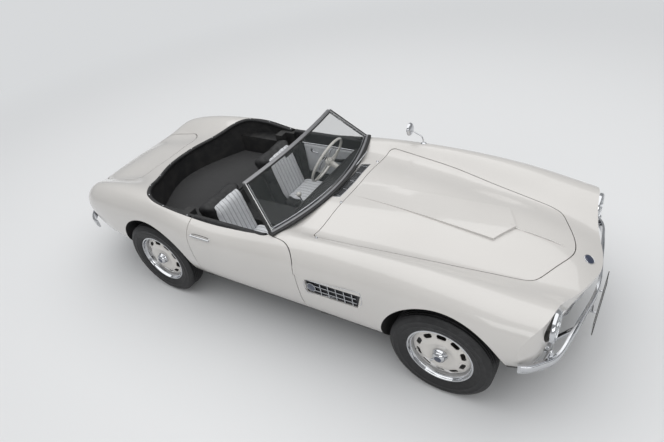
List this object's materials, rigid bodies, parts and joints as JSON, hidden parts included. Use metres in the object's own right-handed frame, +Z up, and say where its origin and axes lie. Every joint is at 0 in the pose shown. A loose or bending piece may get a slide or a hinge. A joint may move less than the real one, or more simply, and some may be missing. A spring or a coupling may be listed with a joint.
{
  "type": "roadster convertible",
  "caption": "Open two-seat roadster with long bonnet, hinged doors and lids, steered front wheels and free-turning road wheels.",
  "frame": {"origin": "on the ground at the middle of the length and width", "axes": "+X forward to the nose, +Y to the car's left, +Z up"},
  "size_m": [4.38, 1.6336, 1.184],
  "materials": {
    "paint": "gloss",
    "wheel_paint": "gloss",
    "black_metal": "satin",
    "alloy": "satin",
    "black_leather": "satin",
    "seat_leather": "satin",
    "frame_metal": "satin",
    "glass": "polished",
    "chrome": "polished",
    "lamp_amber": "gloss",
    "lamp_red": "gloss",
    "plate": "satin",
    "exhaust_steel": "satin",
    "ivory": "gloss",
    "tyre": "matte"
  },
  "bodies": {
    "body": {"front_body": "paint", "cabin_shell": "paint", "rear_body": "paint", "floor_pan": "black_metal", "cockpit_liner": "black_leather", "chassis_frame": "black_metal", "engine": "alloy", "rear_axle": "black_metal", "front_suspension": "black_metal", "seat_left": "seat_leather", "seat_right": "seat_leather", "dashboard": "black_leather", "steering_column": "black_metal", "windscreen_frame": "frame_metal", "windscreen_glass": "glass", "headlamps": "chrome", "headlamp_lenses": "glass", "indicators": "lamp_amber", "tail_lamps": "lamp_red", "grilles": "chrome", "front_bumper": "chrome", "rear_bumper": "chrome", "number_plates": "plate", "exhaust": "exhaust_steel", "wing_mirror": "chrome", "wipers": "chrome"},
    "bonnet": {"bonnet": "paint"},
    "boot_lid": {"boot_lid": "paint"},
    "door_left": {"door_left": "paint", "door_trim_left": "black_leather", "door_handle_left": "chrome"},
    "door_right": {"door_right": "paint", "door_trim_right": "black_leather", "door_handle_right": "chrome"},
    "steering_wheel": {"steering_wheel": "ivory"},
    "knuckle_left": {"knuckle_left": "black_metal"},
    "knuckle_right": {"knuckle_right": "black_metal"},
    "wheel_front_left": {"wheel_front_left": "wheel_paint", "tyre_front_left": "tyre"},
    "wheel_front_right": {"wheel_front_right": "wheel_paint", "tyre_front_right": "tyre"},
    "wheel_rear_left": {"wheel_rear_left": "wheel_paint", "tyre_rear_left": "tyre"},
    "wheel_rear_right": {"wheel_rear_right": "wheel_paint", "tyre_rear_right": "tyre"}
  },
  "joints": [
    {"name": "door_left_hinge", "type": "hinge", "parent": "body", "child": "door_left", "pos_m": [0.429, 0.816, 0.6], "axis": [0, 0, -1], "range_deg": [0, 65]},
    {"name": "door_right_hinge", "type": "hinge", "parent": "body", "child": "door_right", "pos_m": [0.429, -0.816, 0.6], "axis": [0, 0, 1], "range_deg": [0, 65]},
    {"name": "bonnet_hinge", "type": "hinge", "parent": "body", "child": "bonnet", "pos_m": [0.467, 0, 0.884], "axis": [0, -1, 0], "range_deg": [0, 55]},
    {"name": "boot_hinge", "type": "hinge", "parent": "body", "child": "boot_lid", "pos_m": [-1.5, 0, 0.826], "axis": [0, 1, 0], "range_deg": [0, 60]},
    {"name": "steer_left", "type": "hinge", "parent": "body", "child": "knuckle_left", "pos_m": [1.428, 0.68, 0.338], "axis": [0, 0, 1], "range_deg": [-28, 28]},
    {"name": "steer_right", "type": "hinge", "parent": "body", "child": "knuckle_right", "pos_m": [1.428, -0.68, 0.338], "axis": [0, 0, 1], "range_deg": [-28, 28]},
    {"name": "steering_turn", "type": "hinge", "parent": "body", "child": "steering_wheel", "pos_m": [-0.002, 0.35, 0.825], "axis": [-0.8829, 0, 0.4695], "range_deg": [-450, 450]},
    {"name": "spin_front_left", "type": "hinge", "parent": "knuckle_left", "child": "wheel_front_left", "pos_m": [1.428, 0.7225, 0.338], "axis": [0, 1, 0], "continuous": true},
    {"name": "spin_front_right", "type": "hinge", "parent": "knuckle_right", "child": "wheel_front_right", "pos_m": [1.428, -0.7225, 0.338], "axis": [0, 1, 0], "continuous": true},
    {"name": "spin_rear_left", "type": "hinge", "parent": "body", "child": "wheel_rear_left", "pos_m": [-1.052, 0.7125, 0.338], "axis": [0, 1, 0], "continuous": true},
    {"name": "spin_rear_right", "type": "hinge", "parent": "body", "child": "wheel_rear_right", "pos_m": [-1.052, -0.7125, 0.338], "axis": [0, 1, 0], "continuous": true}
  ],
  "couplings": [
    {"joint": "steer_right", "follows": "steer_left", "ratio": 1},
    {"joint": "steering_turn", "follows": "steer_left", "ratio": 16}
  ]
}
